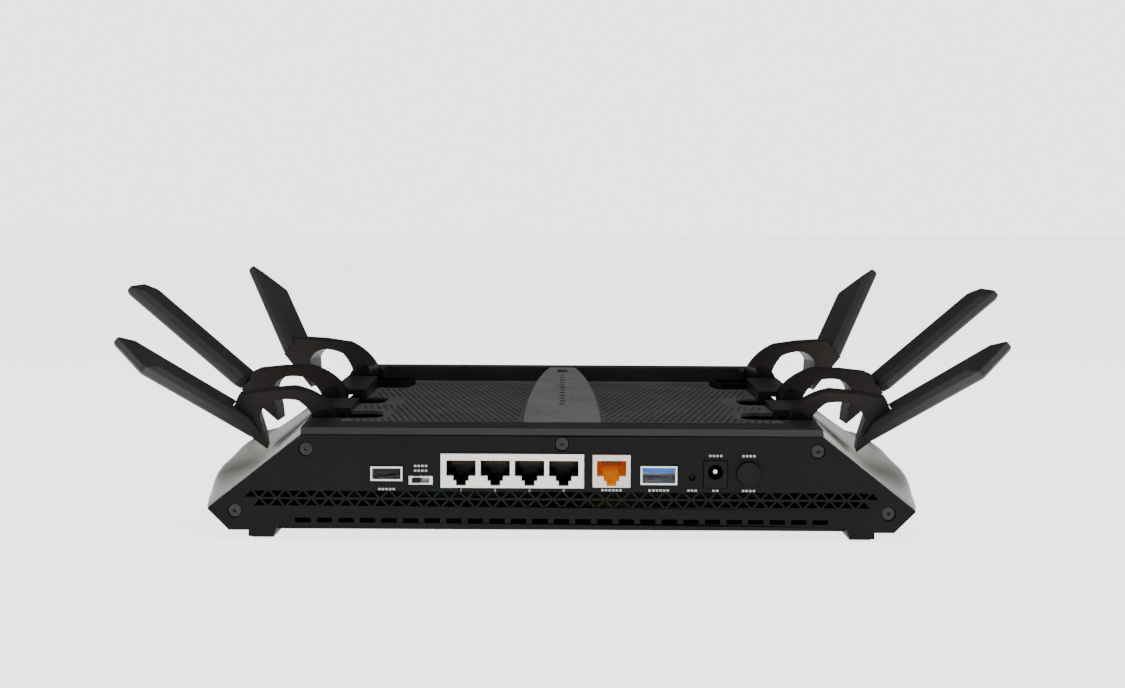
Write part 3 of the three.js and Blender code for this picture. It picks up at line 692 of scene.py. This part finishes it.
def socket_numbers():
    """The numbers 1 to 4 under the network sockets."""
    for i in range(4):
        curve = bpy.data.curves.new(f"number_{i + 1}", "FONT")
        curve.body = str(i + 1)
        curve.size = 1.9 * MM
        curve.extrude = 0.03 * MM
        curve.align_x = "CENTER"
        curve.align_y = "CENTER"
        curve.materials.append(INK)
        number = bpy.data.objects.new(f"socket_number_{i + 1}", curve)
        bpy.context.scene.collection.objects.link(number)
        number.location = place([(LAN_X + (i - 1.5) * JACK_PITCH, PANEL_FACE, 21.2)])[0]
        number.rotation_euler = (math.pi / 2, 0, 0)
        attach(number, "router")


# ---- studio ----------------------------------------------------------------


FLOOR_REACH = 40.0         # metres, far enough that its edge meets the horizon


def build_floor():
    r = FLOOR_REACH
    mesh = mesh_from("floor", [(-r, -r, 0), (r, -r, 0), (r, r, 0), (-r, r, 0)], [(0, 1, 2, 3)])
    floor = make_object("floor", mesh, floor_paint("floor_paint"))


SKY_BEHIND = 0.22          # brightness of the surroundings, behind the camera
SKY_BESIDE = 0.42
SKY_AHEAD = 1.05
SKY_OVERHEAD = 1.5         # added towards the top
SKY_LOW = 0.1              # height of the direction vector where the overhead light begins
BACKDROP = 3.7             # brightness of the pale wall the camera sees


def build_world():
    """Soft surroundings, brighter overhead and ahead than behind the camera."""
    world = bpy.data.worlds.new("studio")
    world.use_nodes = True
    tree = world.node_tree

    def add(kind, **inputs):
        node = tree.nodes.new(kind)
        for key, value in inputs.items():
            socket = node.inputs[key.replace("_", " ")]
            if isinstance(value, bpy.types.NodeSocket):
                tree.links.new(value, socket)
            else:
                socket.default_value = value
        return node

    def ramp(value, low, high, to_low, to_high):
        node = add("ShaderNodeMapRange", Value=value, From_Min=low, From_Max=high,
                   To_Min=to_low, To_Max=to_high)
        return node.outputs["Result"]

    def total(a, b):
        node = tree.nodes.new("ShaderNodeMath")
        node.operation = "ADD"
        tree.links.new(a, node.inputs[0])
        tree.links.new(b, node.inputs[1])
        return node.outputs[0]

    direction = add("ShaderNodeTexCoord").outputs["Generated"]
    axes = add("ShaderNodeSeparateXYZ", Vector=direction)
    near_half = ramp(axes.outputs["Y"], -1.0, 0.0, SKY_BEHIND, SKY_BESIDE)
    far_half = ramp(axes.outputs["Y"], 0.0, 1.0, 0.0, SKY_AHEAD - SKY_BESIDE)
    overhead = ramp(axes.outputs["Z"], SKY_LOW, 1.0, 0.0, SKY_OVERHEAD)
    background = tree.nodes["Background"]
    tree.links.new(total(total(near_half, far_half), overhead), background.inputs["Strength"])
    wall = add("ShaderNodeBackground", Strength=BACKDROP)
    seen = add("ShaderNodeLightPath").outputs["Is Camera Ray"]
    mix = add("ShaderNodeMixShader", Fac=seen)
    tree.links.new(background.outputs[0], mix.inputs[1])
    tree.links.new(wall.outputs[0], mix.inputs[2])
    tree.links.new(mix.outputs[0], tree.nodes["World Output"].inputs["Surface"])
    bpy.context.scene.world = world


def soft_light(name, location, target, size, power):
    light = bpy.data.lights.new(name, "AREA")
    light.shape = "RECTANGLE"
    light.size, light.size_y = size
    light.energy = power
    obj = bpy.data.objects.new(name, light)
    bpy.context.scene.collection.objects.link(obj)
    obj.location = location
    obj.rotation_euler = (Vector(target) - Vector(location)).to_track_quat("-Z", "Y").to_euler()


CAMERA_BACK = 650.0        # distance from the camera to the port panel
CAMERA_Z = 130.0
CAMERA_PITCH = 4.19        # degrees below level
CAMERA_ROLL = 0.3
FOCAL_SHARE = 1.400        # focal length over sensor width


def build_camera():
    data = bpy.data.cameras.new("camera")
    data.sensor_width = 36.0
    data.lens = 36.0 * FOCAL_SHARE
    data.clip_start = 0.01
    data.clip_end = 50.0
    camera = bpy.data.objects.new("camera", data)
    bpy.context.scene.collection.objects.link(camera)
    camera.location = (0.0, -(CAMERA_BACK + CENTRE_Y) * MM, CAMERA_Z * MM)
    pitch = Matrix.Rotation(math.radians(90 - CAMERA_PITCH), 4, "X")
    roll = Matrix.Rotation(math.radians(CAMERA_ROLL), 4, "Z")
    camera.rotation_euler = (pitch @ roll).to_euler()
    bpy.context.scene.camera = camera


# ---- assembly --------------------------------------------------------------

build_camera()
build_world()
build_floor()
soft_light("key", (0.2, -0.5, 1.5), (0, 0, 0), (1.6, 1.6), 14)
soft_light("left", (-1.4, -0.2, 0.6), (0, 0, 0.04), (1.0, 0.8), 6)
soft_light("right", (1.4, -0.2, 0.6), (0, 0, 0.04), (1.0, 0.8), 6)

dress_cad_nodes()
build_grille()
build_light_marks()
build_contacts()
panel_marks()
socket_numbers()
for side, sign in (("left", -1), ("right", 1)):
    build_side_panel(side, sign)
    for place_name in ANTENNAS:
        build_blade(side, sign, place_name)
